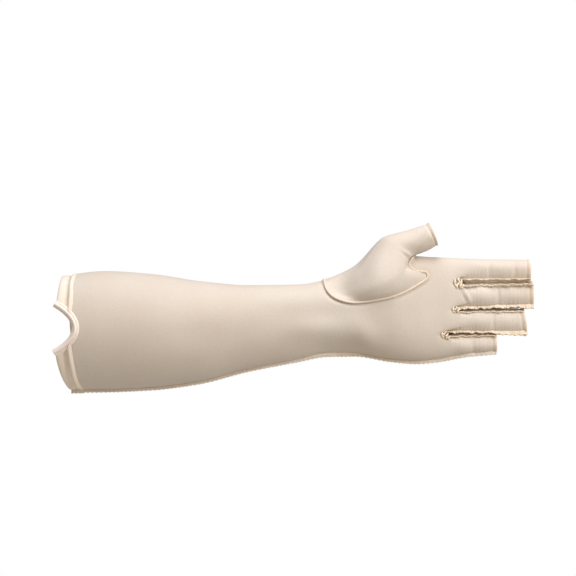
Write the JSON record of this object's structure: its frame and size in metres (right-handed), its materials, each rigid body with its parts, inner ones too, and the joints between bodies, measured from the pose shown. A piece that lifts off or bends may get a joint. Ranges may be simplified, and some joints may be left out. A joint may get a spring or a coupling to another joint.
{
  "type": "compression glove",
  "caption": "Forearm-length left-hand compression glove of beige stretch knit, with open finger and thumb stalls, ruffled outside seams, a thumb gusset and a notched, hemmed elbow mouth.",
  "frame": {"origin": "centre of the elbow mouth, where the arm goes in", "axes": "+X along the arm towards the fingers, +Z towards the thumb side, -Y out of the palm"},
  "size_m": [0.3765, 0.0801, 0.1351],
  "materials": {
    "cloth": "matte knitted nylon and elastane",
    "gusset_cloth": "matte knitted nylon and elastane",
    "hem_cloth": "turned and stitched knit",
    "binding_cloth": "folded knit binding",
    "seam_thread": "overlocked seam with tan thread"
  },
  "bodies": {
    "root": {"main_panel": "cloth", "thumb_gusset": "gusset_cloth", "elbow_hem": "hem_cloth", "notch_binding": "binding_cloth", "index_hem": "hem_cloth", "middle_hem": "hem_cloth", "ring_hem": "hem_cloth", "little_hem": "hem_cloth", "thumb_hem": "hem_cloth", "ulnar_seam": "seam_thread", "index_middle_seam": "seam_thread", "middle_ring_seam": "seam_thread", "ring_little_seam": "seam_thread", "gusset_seam": "seam_thread"}
  },
  "joints": []
}
